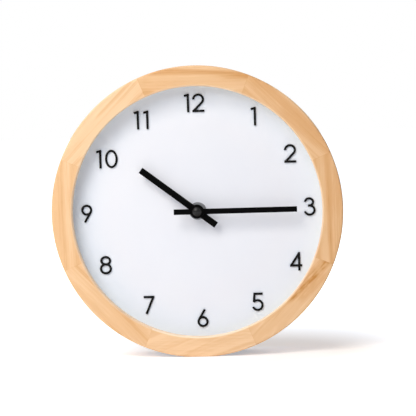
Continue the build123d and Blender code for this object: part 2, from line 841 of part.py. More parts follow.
# Minute wheel and its pinion
with BuildPart() as minute_wheel:
    arbor(case_floor, bridge_front, minute_wheel_at)
    gear(minute_pinion_teeth, hour_module, hour_layer, minute_wheel_at)
    gear(minute_wheel_teeth, cannon_module, cannon_layer, minute_wheel_at, minute_wheel_phase)
minute_wheel.part.label = "minute_wheel"
export_step(minute_wheel.part, "parts/minute_wheel.step")

# Setting knob with its shaft and pinion, moulded in one piece
knob_front = case_rear + setting_gap
with BuildPart() as setting_knob:
    rod(pivot_radius, case_floor - pivot_reach + end_play, cannon_layer, setting_at)
    rod(setting_shaft_radius, case_floor + end_play, knob_front, setting_at)
    gear(setting_teeth, cannon_module, cannon_layer, setting_at, setting_phase)
    with BuildSketch(face_plane(knob_front + knob_thickness, setting_at)):
        Circle(knob_radius)
        with PolarLocations(knob_radius, knob_flute_count):
            Circle(knob_flute_radius, mode=Mode.SUBTRACT)
    extrude(amount=knob_thickness)
setting_knob.part.label = "setting_knob"
export_step(setting_knob.part, "parts/setting_knob.step")

# Centre wheel, a friction fit on the minute pipe
with BuildPart() as centre_wheel:
    gear(centre_teeth, centre_module, centre_layer)
    rod(pipe_bore, centre_layer - cut_overrun, pipe_rear + cut_overrun, mode=Mode.SUBTRACT)
centre_wheel.part.label = "centre_wheel"
export_step(centre_wheel.part, "parts/centre_wheel.step")

# Third wheel and pinion
with BuildPart() as third_wheel:
    arbor(bridge_rear, cover_front, third_at)
    gear(third_pinion_teeth, centre_module, centre_layer, third_at, third_pinion_phase)
    gear(third_teeth, third_module, third_layer, third_at)
third_wheel.part.label = "third_wheel"
export_step(third_wheel.part, "parts/third_wheel.step")

# Second wheel and pinion, whose front pivot runs in the rear end of the minute pipe
with BuildPart() as second_wheel:
    arbor(pipe_rear, cover_front)
    gear(second_pinion_teeth, third_module, third_layer, phase=second_pinion_phase)
    gear(second_teeth, second_module, second_layer)
second_wheel.part.label = "second_wheel"
export_step(second_wheel.part, "parts/second_wheel.step")

# Intermediate wheel and pinion between the rotor and the second wheel
with BuildPart() as intermediate_wheel:
    arbor(bridge_rear, cover_front, intermediate_at)
    gear(
        intermediate_pinion_teeth,
        second_module,
        second_layer,
        intermediate_at,
        intermediate_pinion_phase,
    )
    gear(intermediate_teeth, intermediate_module, intermediate_layer, intermediate_at)
intermediate_wheel.part.label = "intermediate_wheel"
export_step(intermediate_wheel.part, "parts/intermediate_wheel.step")

# Rotor arbor with its pinion, and the ring magnet on it
magnet_rear = centre_layer + magnet_length
with BuildPart() as rotor:
    arbor(bridge_rear, cover_front, rotor_at)
    gear(rotor_teeth, intermediate_module, intermediate_layer, rotor_at, rotor_phase)
rotor.part.label = "rotor"
export_step(rotor.part, "parts/rotor.step")

with BuildPart() as rotor_magnet:
    rod(magnet_radius, centre_layer, magnet_rear, rotor_at)
    rod(
        arbor_radius + hand_fit,
        centre_layer - cut_overrun,
        magnet_rear + cut_overrun,
        rotor_at,
        Mode.SUBTRACT,
    )
rotor_magnet.part.label = "rotor_magnet"
export_step(rotor_magnet.part, "parts/rotor_magnet.step")

# Stator plate round the magnet, with two legs up to the coil core
leg_top = coil_height + core_height / 2
with BuildPart() as stator:
    block(stator_left, stator_right, stator_bottom, stator_bar_top, stator_front, stator_rear)
    block(stator_left, stator_left + stator_leg_width, stator_bottom, leg_top, stator_front, stator_rear)
    block(stator_right - stator_leg_width, stator_right, stator_bottom, leg_top, stator_front, stator_rear)
    rod(
        magnet_radius + air_gap,
        stator_front - cut_overrun,
        stator_rear + cut_overrun,
        rotor_at,
        Mode.SUBTRACT,
    )
    for post in stator_stakes:
        rod(
            stake_radius + running_clearance,
            stator_front - cut_overrun,
            stator_rear + cut_overrun,
            post,
            Mode.SUBTRACT,
        )
stator.part.label = "stator"
export_step(stator.part, "parts/stator.step")

# Coil core that bridges the stator legs
with BuildPart() as coil_core:
    block(stator_left, stator_right, coil_height - core_height / 2, leg_top, stator_rear, core_rear)
    for post in stator_stakes:
        rod(
            stake_radius + running_clearance,
            stator_rear - cut_overrun,
            core_rear + cut_overrun,
            post,
            Mode.SUBTRACT,
        )
coil_core.part.label = "coil_core"
export_step(coil_core.part, "parts/coil_core.step")


def coil_block(length, height, thickness, middle, mode=Mode.ADD):
    """Box round the coil core, with its length along the core."""
    block(
        middle - length / 2,
        middle + length / 2,
        coil_height - height / 2,
        coil_height + height / 2,
        coil_depth - thickness / 2,
        coil_depth + thickness / 2,
        mode,
    )


# Bobbin on the core, with a flange at each end
coil_middle = (coil_left + coil_right) / 2
coil_length = coil_right - coil_left
slot_height = core_height + 2 * bobbin_fit
slot_thickness = stator_thickness + 2 * bobbin_fit
barrel_height = slot_height + 2 * bobbin_wall
barrel_thickness = slot_thickness + 2 * bobbin_wall
with BuildPart() as coil_bobbin:
    coil_block(coil_length, barrel_height, barrel_thickness, coil_middle)
    for flange_middle in (
        coil_left + bobbin_flange_thickness / 2,
        coil_right - bobbin_flange_thickness / 2,
    ):
        coil_block(bobbin_flange_thickness, bobbin_flange, bobbin_flange, flange_middle)
    coil_block(coil_length + cut_overrun, slot_height, slot_thickness, coil_middle, Mode.SUBTRACT)
coil_bobbin.part.label = "coil_bobbin"
export_step(coil_bobbin.part, "parts/coil_bobbin.step")

# Copper winding between the flanges
winding_length = coil_length - 2 * (bobbin_flange_thickness + bobbin_fit)
with BuildPart() as coil_winding:
    coil_block(winding_length, winding_height, winding_height, coil_middle)
    fillet(coil_winding.edges().filter_by(Axis.X), winding_round)
    coil_block(
        winding_length + cut_overrun,
        barrel_height + 2 * bobbin_fit,
        barrel_thickness + 2 * bobbin_fit,
        coil_middle,
        Mode.SUBTRACT,
    )
coil_winding.part.label = "coil_winding"
export_step(coil_winding.part, "parts/coil_winding.step")

# Circuit board with the control chip and the quartz crystal on its rear face
with BuildPart() as circuit_board:
    block(board_left, board_right, board_bottom, board_top, stator_front, board_rear)
    for post in board_posts:
        rod(
            stake_radius + running_clearance,
            stator_front - cut_overrun,
            board_rear + cut_overrun,
            post,
            Mode.SUBTRACT,
        )
circuit_board.part.label = "circuit_board"
export_step(circuit_board.part, "parts/circuit_board.step")

with BuildPart() as control_chip:
    block(
        board_middle - chip_size / 2,
        board_middle + chip_size / 2,
        board_centre - chip_size / 2,
        board_centre + chip_size / 2,
        board_rear,
        board_rear + chip_thickness,
    )
control_chip.part.label = "control_chip"
export_step(control_chip.part, "parts/control_chip.step")

crystal_bottom = board_centre - crystal_length / 2
crystal_depth = board_rear + crystal_radius + crystal_gap
with BuildPart() as quartz_crystal:
    with Locations((board_right - 2 * crystal_radius, front_y + crystal_depth, axis_height + crystal_bottom)):
        Cylinder(crystal_radius, crystal_length, align=lowest)
quartz_crystal.part.label = "quartz_crystal"
export_step(quartz_crystal.part, "parts/quartz_crystal.step")

# Contact strip from the positive end of the battery, along the gear room floor to the circuit board
with BuildPart() as positive_contact:
    with BuildSketch(face_plane(strip_rear)):
        with BuildLine():
            Polyline(
                (contact_line, battery_height - leaf_half_height),
                (contact_line, strip_line),
                (board_middle, strip_line),
                (board_middle, board_bottom + strip_tail),
            )
        trace(line_width=contact_thickness)
    extrude(amount=strip_width)
    block(
        room_edge - contact_thickness,
        room_edge,
        battery_height - leaf_half_height,
        battery_height + leaf_half_height,
        strip_rear,
        battery_depth + contact_width,
    )
positive_contact.part.label = "positive_contact"
export_step(positive_contact.part, "parts/positive_contact.step")

# Leaf spring at the negative end of the battery, with a tab at the circuit board
with BuildPart() as negative_contact:
    with BuildSketch(face_plane(leaf_rear)):
        with BuildLine():
            Polyline(
                (-contact_line, board_bottom + strip_tail),
                (-contact_line, battery_height + leaf_half_height),
                (battery_flat - contact_gap - contact_thickness / 2, battery_height),
                (-contact_line, battery_height - leaf_half_height),
            )
        trace(line_width=contact_thickness)
    extrude(amount=contact_width)
    block(
        -room_edge,
        board_left + strip_tail,
        board_bottom + strip_tail - contact_thickness,
        board_bottom + strip_tail,
        strip_front,
        strip_rear,
    )
negative_contact.part.label = "negative_contact"
export_step(negative_contact.part, "parts/negative_contact.step")

# Battery: wrapped cell and its positive cap
cell_right = battery_tip - terminal_length
battery_plane = Plane(
    origin=(cell_right, front_y + battery_depth, axis_height + battery_height), z_dir=(1, 0, 0)
)
with BuildPart(battery_plane) as battery_cell:
    Cylinder(battery_radius, cell_right - battery_flat, align=highest)
    fillet(battery_cell.edges().filter_by(GeomType.CIRCLE), battery_edge_round)
battery_cell.part.label = "battery_cell"
export_step(battery_cell.part, "parts/battery_cell.step")

with BuildPart(battery_plane) as battery_cap:
    Cylinder(terminal_radius, terminal_length, align=lowest)
battery_cap.part.label = "battery_cap"
export_step(battery_cap.part, "parts/battery_cap.step")
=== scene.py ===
import math

import bmesh
import bpy
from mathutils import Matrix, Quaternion, Vector


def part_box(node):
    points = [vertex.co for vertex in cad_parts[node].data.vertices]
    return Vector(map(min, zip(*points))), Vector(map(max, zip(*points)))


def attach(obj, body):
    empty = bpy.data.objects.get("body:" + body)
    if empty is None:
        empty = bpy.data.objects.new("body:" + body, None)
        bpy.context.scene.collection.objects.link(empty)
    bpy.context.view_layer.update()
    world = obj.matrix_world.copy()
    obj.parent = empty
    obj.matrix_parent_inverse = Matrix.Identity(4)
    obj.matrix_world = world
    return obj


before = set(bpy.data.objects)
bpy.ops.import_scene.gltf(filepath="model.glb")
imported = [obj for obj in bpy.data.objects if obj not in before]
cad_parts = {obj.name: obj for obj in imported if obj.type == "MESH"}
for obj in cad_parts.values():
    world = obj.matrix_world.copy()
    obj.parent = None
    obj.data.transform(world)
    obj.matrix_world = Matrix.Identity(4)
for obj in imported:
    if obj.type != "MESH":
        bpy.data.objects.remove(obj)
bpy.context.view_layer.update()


# Ring: eight segments sawn from pine board, mitred at 22.5 degrees, glued and turned round.
# The grain runs straight along each segment's chord, so it breaks at every glue joint,
# and the whole ring is sanded and given one thin coat of satin lacquer.
MM = 0.001
segment_turn = math.radians(45)
mitre_angle = segment_turn / 2
opening_radius = 85.7

# Segment 3 lies level with the clock's axis, and its front face is the front of the ring.
ring_low, ring_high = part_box("frame_segment_3")
ring_middle = (0.0, ring_low.y, (ring_low.z + ring_high.z) / 2)


def linear(code):
    """sRGB hex, such as f4c999, as the linear colour with alpha that a socket takes."""
    shares = [int(code[i : i + 2], 16) / 255 for i in (0, 2, 4)]
    return [s / 12.92 if s <= 0.04045 else ((s + 0.055) / 1.055) ** 2.4 for s in shares] + [1.0]


def add(owner, kind, inputs, **settings):
    """Adds one shader node to a material or world, with its settings, values and links.
    Sockets go by name, or by number where that is shorter or names repeat. A Map Range takes
    its value at 0, the range that value has at 1 and 2, and the range it gets at 3 and 4.
    A Mix takes two colours at 6 and 7 and gives one at 2."""
    tree = owner.node_tree
    made = tree.nodes.new("ShaderNode" + kind)
    for name, value in settings.items():
        setattr(made, name, value)
    for socket, value in inputs.items():
        if isinstance(value, bpy.types.NodeSocket):
            tree.links.new(value, made.inputs[socket])
        else:
            made.inputs[socket].default_value = value
    return made


def surface(name, sockets):
    """A new Principled material with plain numbers and colours on the shader's own sockets."""
    made = bpy.data.materials.new(name)
    made.use_nodes = True
    shader = made.node_tree.nodes["Principled BSDF"]
    for socket, value in sockets.items():
        shader.inputs[socket].default_value = value
    return made, shader


def coat(material, *nodes):
    """Gives CAD nodes their material."""
    for node in nodes:
        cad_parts[node].data.materials[0] = material


# Lacquered pine: pale earlywood with soft orange latewood streaks, fine fibres and a low sheen.
# Growth rings are some 5 mm apart and grain lines about 1 mm wide. Real fibres are finer than
# the 0.4 mm that they are drawn at here so that they show.
pine_tones = (
    (0.0, "fddcb3"),
    (0.25, "f7cfa2"),
    (0.45, "edc08e"),
    (0.65, "e2ae77"),
    (0.85, "d69c5d"),
    (1.0, "cc8a44"),
)
bare_and_highlit_pine = "fde6c8"

# Layers of the grain: size in mm along, through and across the board, and detail
pine_layers = {
    "wander": ((70, 60, 30), 1),
    "blotch": ((38, 30, 11), 1),
    "curl": ((8, 7, 3.5), 2),
    "lines": ((55, 3, 1.2), 2),
    "fibres": ((8, 0.4, 0.4), 2),
}
tone_shares = {"rings": 0.2, "blotch": 0.14, "lines": 0.12, "fibres": 0.1}
tone_noise_low, tone_noise_high = 0.25, 0.75
pale_roughness, dark_roughness = 0.56, 0.44
grain_relief, grain_relief_strength = 0.04, 0.5

# Each segment is cut from another place in the board, this far on from the last one.
board_step = (7.3, 0.0, 3.1)
growth_ring_step = 11.7
growth_ring_spacing = 5.0
growth_ring_detail = 1.5
growth_ring_lean_with_depth = 0.4
wander_reach = 5.0
streak_wander_share = 0.3
streak_fade = 10.0

# Grain lines thin a streak to this share of its strength, and in the segment whose grain is curly
# patches weaken and deepen it as well.
streak_line_low, streak_line_high, streak_thinned = 0.3, 0.7, 0.55
curly_segment = 4
curl_low, curl_high, curl_weakened, curl_deepened = 0.35, 0.65, 0.45, 1.6

glue_line_width, glue_line_tone = 0.35, 0.1

# The arris of the opening is barest and palest up to the first of these radii past it, and bare up to the
# second;
# on the arris this paleness is also a painted highlight.
# Between the two depths behind the front it passes into the wall.
arris_full, arris_end = 0.5, 1.6
arris_depth, wall_depth, wall_wear = 0.8, 2.4, 0.6

# Each segment: run-out of the grain, depth of tone, wear and painted highlight of its inner arris, then its
# streaks.
# The painted highlight is strongest at the bottom and lower right, where light catches the edge.
# A streak has its distance from the clock's axis, slope and bend along the chord, inner and outer
# soft edges, strength, and where it starts and ends along the chord, clockwise, all in mm.
# A negative strength is a paler band.
segments = {
    1: (
        0.02,
        0.19,
        0.45,
        (
            (96.3, -0.072, -0.001, 4.2, 2.2, 0.42, -36, 46),
            (82.5, 0.0, 0.0, 3.5, 3.5, 0.3, -46, -22),
        ),
    ),
    2: (
        0.02,
        0.28,
        0.4,
        (
            (91.7, 0.0, 0.0, 2.4, 2.6, 0.2, -50, 50),
            (96.5, 0.0, 0.0, 3.0, 2.5, 0.05, -50, 50),
        ),
    ),
    3: (
        0.03,
        0.27,
        0.5,
        (
            (90.8, 0.025, 0.0, 3.0, 1.7, 0.16, -50, 50),
            (96.5, -0.02, 0.0, 2.4, 1.8, 0.05, -50, 50),
        ),
    ),
    4: (
        0.04,
        0.19,
        0.65,
        (
            (88.4, 0.0, 0.0, 7.5, 2.6, 0.44, -48, 5),
            (91.5, 0.0, 0.0, 4.0, 7.0, 0.14, -34, 0),
            (87.9, -0.055, 0.0, 0.9, 0.9, 0.14, -6, 48),
            (91.0, 0.0, 0.0, 12.0, 12.0, -0.1, 14, 60),
        ),
    ),
    5: (
        0.4,
        0.06,
        0.9,
        (
            (92.8, 0.55, 0.0, 1.4, 0.9, 0.09, -14, 18),
            (82.6, 0.56, 0.0, 1.2, 0.8, 0.08, 8, 38),
        ),
    ),
    6: (
        -0.05,
        0.12,
        0.4,
        (
            (86.3, -0.05, 0.0, 3.0, 1.4, 0.2, -52, 52),
            (88.0, -0.06, 0.0, 2.4, 1.6, 0.08, -54, -20),
            (84.0, 0.0, 0.0, 2.2, 2.0, 0.14, 16, 52),
        ),
    ),
    7: (
        0.03,
        0.14,
        0.4,
        (
            (91.5, 0.03, -0.0006, 0.8, 5.0, 0.09, -50, 50),
            (84.5, 0.0, 0.0, 2.6, 2.6, 0.06, -50, -28),
        ),
    ),
    8: (
        0.02,
        0.0,
        0.4,
        (
            (94.3, 0.0, 0.0, 2.2, 2.2, 0.24, -4, 50),
            (90.2, 0.03, 0.0, 2.0, 1.4, 0.12, -50, 44),
            (84.5, -0.05, 0.0, 3.0, 2.6, 0.3, 14, 50),
            (83.0, 0.0, 0.0, 2.2, 2.2, 0.3, -48, -20),
        ),
    ),
}

for segment, (run_out, depth_of_tone, arris_wear_and_highlight, streaks) in segments.items():
    pine, shader = surface(f"lacquered_pine_{segment}", {"Specular IOR Level": 0.35})
    place = add(pine, "TexCoord", {})
    board = add(
        pine,
        "Mapping",
        {
            "Vector": place.outputs["Object"],
            "Location": ring_middle,
            "Rotation": (0, segment_turn * (segment - 1), 0),
            "Scale": (MM, MM, MM),
        },
        vector_type="TEXTURE",
    ).outputs[0]
    along, deep, out = add(pine, "SeparateXYZ", {"Vector": board}).outputs
    layer = {}
    for name, (size, detail) in pine_layers.items():
        stretched = add(
            pine,
            "Mapping",
            {
                "Vector": board,
                "Location": [step * segment for step in board_step],
                "Scale": [1 / s for s in size],
            },
        )
        noise = add(pine, "TexNoise", {"Vector": stretched.outputs[0], "Scale": 1.0, "Detail": detail})
        layer[name] = noise.outputs["Fac"]
    wander = add(
        pine, "MapRange", {0: layer["wander"], 3: -wander_reach / 2, 4: wander_reach / 2}
    ).outputs[0]
    leaned = add(
        pine, "Math", {0: deep, 1: growth_ring_lean_with_depth, 2: out}, operation="MULTIPLY_ADD"
    ).outputs[0]

    # Growth rings, as irregular bands across the board
    waved = add(pine, "Math", {0: leaned, 1: wander}, operation="ADD").outputs[0]
    slanted = add(pine, "Math", {0: along, 1: -run_out, 2: waved}, operation="MULTIPLY_ADD").outputs[0]
    spaced = add(
        pine,
        "Math",
        {0: slanted, 1: 1 / growth_ring_spacing, 2: growth_ring_step * segment},
        operation="MULTIPLY_ADD",
    ).outputs[0]
    layer["rings"] = add(
        pine, "TexNoise", {"W": spaced, "Scale": 1.0, "Detail": growth_ring_detail}, noise_dimensions="1D"
    ).outputs["Fac"]

    # Streaks of latewood, soft on one side and sharper on the other, broken up by the grain lines
    drifted = add(
        pine, "Math", {0: wander, 1: streak_wander_share, 2: leaned}, operation="MULTIPLY_ADD"
    ).outputs[0]
    dark = 0.0
    for distance, slope, bend, inner_edge, outer_edge, strength, start, stop in streaks:
        course = add(pine, "Math", {0: along, 1: bend, 2: slope}, operation="MULTIPLY_ADD").outputs[0]
        course = add(pine, "Math", {0: along, 1: course, 2: distance}, operation="MULTIPLY_ADD").outputs[0]
        aside = add(pine, "Math", {0: drifted, 1: course}, operation="SUBTRACT").outputs[0]
        band = add(
            pine,
            "MapRange",
            {
                0: layer["lines"],
                1: streak_line_low,
                2: streak_line_high,
                3: streak_thinned * strength,
                4: strength,
            },
        ).outputs[0]
        if segment == curly_segment:
            patches = add(
                pine,
                "MapRange",
                {0: layer["curl"], 1: curl_low, 2: curl_high, 3: curl_weakened, 4: curl_deepened},
            ).outputs[0]
            band = add(pine, "Math", {0: band, 1: patches}, operation="MULTIPLY").outputs[0]
        for value, low, high, at_low, at_high in (
            (aside, -inner_edge, 0, 0, 1),
            (aside, 0, outer_edge, 1, 0),
            (along, start, start + streak_fade, 0, 1),
            (along, stop - streak_fade, stop, 1, 0),
        ):
            edge = add(
                pine,
                "MapRange",
                {0: value, 1: low, 2: high, 3: at_low, 4: at_high},
                interpolation_type="SMOOTHSTEP",
            ).outputs[0]
            band = add(pine, "Math", {0: band, 1: edge}, operation="MULTIPLY").outputs[0]
        dark = add(pine, "Math", {0: dark, 1: band}, operation="ADD").outputs[0]

    # Glue joint: a hair of darker wood along each mitre
    to_side = add(pine, "Math", {0: along}, operation="ABSOLUTE").outputs[0]
    to_side = add(pine, "Math", {0: to_side, 1: -math.cos(mitre_angle)}, operation="MULTIPLY").outputs[0]
    to_mitre = add(
        pine, "Math", {0: out, 1: math.sin(mitre_angle), 2: to_side}, operation="MULTIPLY_ADD"
    ).outputs[0]
    glue = add(
        pine, "MapRange", {0: to_mitre, 1: 0.0, 2: glue_line_width, 3: glue_line_tone, 4: 0.0}
    ).outputs[0]

    # Tone from pale to dark, and its colour
    tone = add(pine, "Math", {0: dark, 1: glue}, operation="ADD").outputs[0]
    tone = add(pine, "Math", {0: tone, 1: depth_of_tone}, operation="ADD").outputs[0]
    for name, share in tone_shares.items():
        level = add(
            pine, "MapRange", {0: layer[name], 1: tone_noise_low, 2: tone_noise_high, 3: 0.0, 4: share}
        ).outputs[0]
        tone = add(pine, "Math", {0: tone, 1: level}, operation="ADD").outputs[0]
    ramp = add(pine, "ValToRGB", {"Fac": tone})
    ramp.color_ramp.interpolation = "EASE"
    for stop_at, _ in pine_tones[1:-1]:
        ramp.color_ramp.elements.new(stop_at)
    for element, (stop_at, code) in zip(ramp.color_ramp.elements, pine_tones):
        element.position = stop_at
        element.color = linear(code)

    # Round edge and wall of the opening: sanded hardest and lacquered least, so the wood is paler there.
    # On the arris this paleness is also a painted highlight, set per segment and strongest at the bottom
    # and lower right, where light catches the edge.
    across = add(pine, "VectorMath", {0: board, 1: (1, 0, 1)}, operation="MULTIPLY").outputs[0]
    from_axis = add(pine, "VectorMath", {0: across}, operation="LENGTH").outputs["Value"]
    edge = add(
        pine,
        "MapRange",
        {0: from_axis, 1: opening_radius + arris_full, 2: opening_radius + arris_end, 3: 1.0, 4: 0.0},
        interpolation_type="SMOOTHSTEP",
    ).outputs[0]
    wear_and_highlight = add(
        pine, "MapRange", {0: deep, 1: arris_depth, 2: wall_depth, 3: arris_wear_and_highlight, 4: wall_wear}
    ).outputs[0]
    pale_and_highlight = add(pine, "Math", {0: edge, 1: wear_and_highlight}, operation="MULTIPLY").outputs[0]
    colour = add(
        pine, "Mix", {"Factor": pale_and_highlight, 6: ramp.outputs["Color"], 7: linear(bare_and_highlit_pine)}, data_type="RGBA"
    ).outputs[2]

    # Sheen of the lacquer, and the fine relief of the grain under it
    sheen = add(
        pine, "MapRange", {0: tone, 1: 0.0, 2: 1.0, 3: pale_roughness, 4: dark_roughness}
    ).outputs[0]
    height = add(pine, "Math", {0: layer["fibres"], 1: layer["lines"]}, operation="ADD").outputs[0]
    relief = add(
        pine,
        "Bump",
        {"Height": height, "Strength": grain_relief_strength, "Distance": grain_relief * MM},
    ).outputs["Normal"]
    links = pine.node_tree.links
    links.new(colour, shader.inputs["Base Color"])
    links.new(sheen, shader.inputs["Roughness"])
    links.new(relief, shader.inputs["Normal"])
    coat(pine, f"frame_segment_{segment}")


# Dial: a white card on a fibreboard disc, held against the ring's lip by a spacer ring of grey card.
# The same fibreboard closes the back, where four screws hold it to the ring.
def mottled(name, tones, patch, grain, relief, sockets):
    """A material whose colour drifts between two tones in patches, over a fine grain with some relief.
    Patch and grain sizes are along x, y and z in mm, and so is the relief. The real grain of card,
    plating, paint and mouldings is finer than 0.1 mm, so it is drawn coarser to show."""
    patch_detail, grain_detail = 2, 3
    share_low, share_high = 0.65, 1.35
    gloss_drift, relief_strength = 0.05, 0.6
    made, shader = surface(name, sockets)
    place = add(made, "TexCoord", {})
    fields = []
    for size, detail in ((patch, patch_detail), (grain, grain_detail)):
        spread = add(
            made, "Mapping", {"Vector": place.outputs["Object"], "Scale": [1 / (s * MM) for s in size]}
        )
        noise = add(made, "TexNoise", {"Vector": spread.outputs[0], "Scale": 1.0, "Detail": detail})
        fields.append(noise.outputs["Fac"])
    both = add(made, "Math", {0: fields[0], 1: fields[1]}, operation="ADD").outputs[0]
    share = add(made, "MapRange", {0: both, 1: share_low, 2: share_high}).outputs[0]
    colour = add(made, "Mix", {"Factor": share, 6: linear(tones[0]), 7: linear(tones[1])}, data_type="RGBA")
    bump = add(made, "Bump", {"Height": fields[1], "Strength": relief_strength, "Distance": relief * MM})
    gloss = shader.inputs["Roughness"].default_value
    rough = add(
        made,
        "MapRange",
        {0: both, 1: share_low, 2: share_high, 3: gloss - gloss_drift, 4: gloss + gloss_drift},
    )
    links = made.node_tree.links
    links.new(colour.outputs[2], shader.inputs["Base Color"])
    links.new(rough.outputs[0], shader.inputs["Roughness"])
    links.new(bump.outputs["Normal"], shader.inputs["Normal"])
    return made


# Coated card: matt white, very slightly cool and almost without grain.
card = mottled(
    "coated_white_card",
    ("eef0f5", "f1f3f7"),
    (30, 30, 30),
    (0.5, 0.5, 0.5),
    0.01,
    {"Roughness": 0.6, "Specular IOR Level": 0.2},
)
coat(card, "dial_face")

# Towards its rim the card's colour is painted a little cooler: a painted tint that cancels the warm light
# off the wood beside it.
cool_from, cool_to, cool_power = 56, 86, 2.0
painted_cool_rim_tint = "e4f2ff"
card_tone = card.node_tree.nodes["Principled BSDF"].inputs["Base Color"]
place = add(card, "TexCoord", {})
from_axis = add(card, "VectorMath", {0: place.outputs["Object"], 1: ring_middle}, operation="SUBTRACT")
from_axis = add(card, "VectorMath", {0: from_axis.outputs[0], 1: (1, 0, 1)}, operation="MULTIPLY")
from_axis = add(card, "VectorMath", {0: from_axis.outputs[0]}, operation="LENGTH").outputs["Value"]
to_rim = add(card, "MapRange", {0: from_axis, 1: cool_from * MM, 2: cool_to * MM}).outputs[0]
to_rim = add(card, "Math", {0: to_rim, 1: cool_power}, operation="POWER").outputs[0]
painted_cool_rim = add(
    card,
    "Mix",
    {"Factor": to_rim, 6: card_tone.links[0].from_socket, 7: linear(painted_cool_rim_tint)},
    data_type="RGBA",
)
card.node_tree.links.new(painted_cool_rim.outputs[2], card_tone)

# Pressed fibreboard: brown and matt, mottled by its matted fibres.
fibreboard = mottled(
    "pressed_fibreboard",
    ("8f6b45", "b08a5c"),
    (2.5, 2.5, 2.5),
    (0.5, 0.5, 0.5),
    0.05,
    {"Roughness": 0.8, "Specular IOR Level": 0.2},
)
coat(fibreboard, "dial_board", "back_panel")

# Grey card: pulp board of waste paper, dull and faintly flecked.
grey_fibre = mottled(
    "grey_fibre_card",
    ("8d8c88", "a3a29d"),
    (4, 4, 4),
    (0.4, 0.4, 0.4),
    0.03,
    {"Roughness": 0.85, "Specular IOR Level": 0.2},
)
coat(grey_fibre, "spacer_ring")


# Numerals: cut from thin black plastic sheet and glued flat on the card, so they stand a little proud.
# The sheet is matt, and stays almost black at any angle.
black_sheet = mottled(
    "matt_black_plastic_sheet",
    ("060606", "0b0b0c"),
    (6, 6, 6),
    (0.3, 0.3, 0.3),
    0.01,
    {"Roughness": 0.55, "Specular IOR Level": 0.1},
)
coat(black_sheet, "dial_numerals")


# Movement: a moulded case with a threaded stem, its rear cover and the knob that sets the hands.
# Black ABS with the fine spark-eroded finish of its mould, which spreads the light softly.
moulded_black = mottled(
    "moulded_black_abs",
    ("161617", "212123"),
    (9, 9, 9),
    (0.25, 0.25, 0.25),
    0.02,
    {"Roughness": 0.5, "Specular IOR Level": 0.3},
)
coat(moulded_black, "movement_case", "movement_cover", "setting_knob")


# Train and motion work: the inner plate and the wheels that turn in it, and the coil's bobbin.
# They are moulded in natural acetal, which is waxy, off-white and faintly translucent.
acetal = mottled(
    "moulded_white_acetal",
    ("dedbd0", "ebe8de"),
    (5, 5, 5),
    (0.3, 0.3, 0.3),
    0.005,
    {"Roughness": 0.35, "Specular IOR Level": 0.5, "Subsurface Weight": 0.1, "Subsurface Scale": 0.5 * MM},
)
coat(acetal, "bridge_plate", "hour_wheel", "minute_wheel", "centre_wheel", "third_wheel", "second_wheel")
coat(acetal, "intermediate_wheel", "rotor", "coil_bobbin")


# Marks on the movement's rear cover: a second shot of the white acetal, a little proud of the ABS.
# Two curved arrows round the knob show the way that turns the hands forward,
# and a plus and a minus stand above the battery's ends.
mark_height, mark_sunk, mark_edge, mark_edge_steps = 0.25, 0.05, 0.08, 2
arrow_radius, arrow_width, head_width, head_angle, arrow_steps = 8.2, 0.9, 2.4, 20, 24
sign_reach, sign_width, sign_above_edge, sign_inset = 1.5, 0.7, 3.4, 6.0
knob_low, knob_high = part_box("setting_knob")
cover_low, cover_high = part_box("movement_cover")


def raised_mark(name, middle, outline):
    """A low raised shape on the cover's rear face, from its outline in mm round a middle point."""
    shape = bmesh.new()
    base = cover_high.y - mark_sunk * MM
    corners = [shape.verts.new((middle[0] + x * MM, base, middle[1] + z * MM)) for x, z in outline]
    flat = shape.faces.new(corners)
    raised = bmesh.ops.extrude_face_region(shape, geom=[flat])["geom"]
    tops = [v for v in raised if isinstance(v, bmesh.types.BMVert)]
    bmesh.ops.translate(shape, verts=tops, vec=(0, (mark_height + mark_sunk) * MM, 0))
    bmesh.ops.recalc_face_normals(shape, faces=shape.faces)
    mesh = bpy.data.meshes.new(name)
    shape.to_mesh(mesh)
    shape.free()
    mesh.materials.append(acetal)
    piece = bpy.data.objects.new(name, mesh)
    bpy.context.scene.collection.objects.link(piece)
    rounding = piece.modifiers.new("edge", "BEVEL")
    rounding.width = mark_edge * MM
    rounding.segments = mark_edge_steps
    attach(piece, "clock_body")


knob_at = ((knob_low.x + knob_high.x) / 2, (knob_low.z + knob_high.z) / 2)
for name, start, stop in (("setting_arrow_upper", 150, 45), ("setting_arrow_lower", -30, -135)):
    turns = [math.radians(start + (stop - start) * i / arrow_steps) for i in range(arrow_steps + 1)]
    tip = math.radians(stop - head_angle)
    arrow = [(arrow_radius + arrow_width / 2, turn) for turn in turns]
    arrow.append((arrow_radius + head_width / 2, turns[-1]))
    arrow.append((arrow_radius, tip))
    arrow.append((arrow_radius - head_width / 2, turns[-1]))
    arrow += [(arrow_radius - arrow_width / 2, turn) for turn in reversed(turns)]
    outline = [(radius * math.cos(turn), radius * math.sin(turn)) for radius, turn in arrow]
    raised_mark(name, knob_at, outline)

sign_height = cover_low.z + sign_above_edge * MM
long, thin = sign_reach, sign_width / 2
bar = [(-long, -thin), (long, -thin), (long, thin), (-long, thin)]
cross = [(-long, -thin), (-thin, -thin), (-thin, -long), (thin, -long), (thin, -thin), (long, -thin)]
cross += [(-x, -z) for x, z in cross]
raised_mark("battery_plus", (cover_high.x - sign_inset * MM, sign_height), cross)
raised_mark("battery_minus", (cover_low.x + sign_inset * MM, sign_height), bar)


# Minute pipe: brass bar turned in a lathe, which runs through the stem and carries the minute hand.
# The tool leaves fine rings round its axis that catch the light.
turned_brass = mottled(
    "turned_brass",
    ("b08a3e", "c9a454"),
    (6, 2, 6),
    (8, 0.12, 8),
    0.004,
    {"Roughness": 0.28, "Metallic": 1.0},
)
coat(turned_brass, "minute_pipe")


